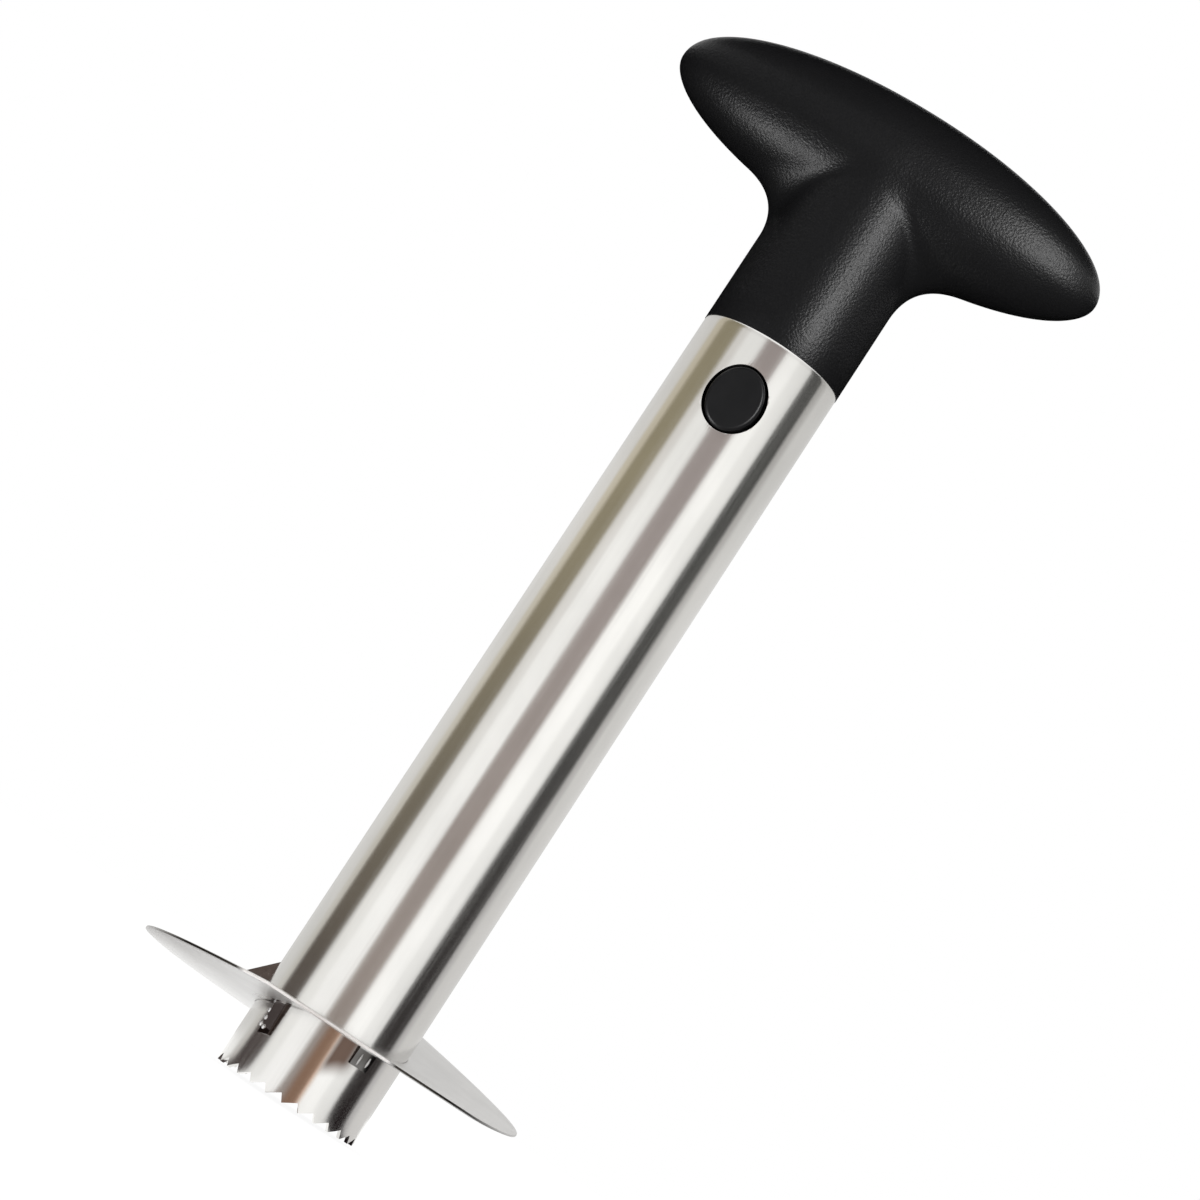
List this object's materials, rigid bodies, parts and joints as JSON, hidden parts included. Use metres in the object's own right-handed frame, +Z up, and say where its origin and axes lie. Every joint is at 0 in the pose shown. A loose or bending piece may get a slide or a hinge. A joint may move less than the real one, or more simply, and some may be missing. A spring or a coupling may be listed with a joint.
{
  "type": "pineapple slicer",
  "caption": "Hand tool that cores and spirals a pineapple: saw-toothed steel tube, helical ring blade, and a black T-handle locked in the tube by sprung push buttons.",
  "frame": {"origin": "on the tube's axis, level with the tips of its teeth", "axes": "+Z up along the tube towards the handle, +X along the crossbar, -Y the side of the front button; the blade's slit is at +Y"},
  "size_m": [0.1014, 0.0844, 0.2427],
  "materials": {
    "tube_steel": "bright stainless tube, fine grain along its length",
    "blade_steel": "satin stainless sheet, ground rim",
    "grip_plastic": "black moulded plastic with a fine spark-eroded grain",
    "housing_plastic": "black moulded plastic, plain",
    "button_plastic": "black moulded plastic, smoother than the grip",
    "spring_steel": "drawn spring wire",
    "pin_steel": "ground dowel"
  },
  "bodies": {
    "slicer": {"core_tube": "tube_steel", "ring_blade": "blade_steel", "blade_gusset": "blade_steel", "front_grip_shell": "grip_plastic", "rear_grip_shell": "grip_plastic", "latch_housing": "housing_plastic", "housing_end_cap": "housing_plastic", "lower_grip_pin": "pin_steel", "upper_grip_pin": "pin_steel", "front_button_spring": "spring_steel", "rear_button_spring": "spring_steel"},
    "front_button": {"front_button": "button_plastic"},
    "rear_button": {"rear_button": "button_plastic"}
  },
  "joints": [
    {"name": "front_button_press", "type": "slide", "parent": "slicer", "child": "front_button", "axis": [0, 1, 0], "range_m": [0, 0.003], "stiffness_N_per_m": 150, "springref_m": -0.004, "deforming": ["front_button_spring"]},
    {"name": "rear_button_press", "type": "slide", "parent": "slicer", "child": "rear_button", "axis": [0, -1, 0], "range_m": [0, 0.003], "stiffness_N_per_m": 150, "springref_m": -0.004, "deforming": ["rear_button_spring"]}
  ]
}
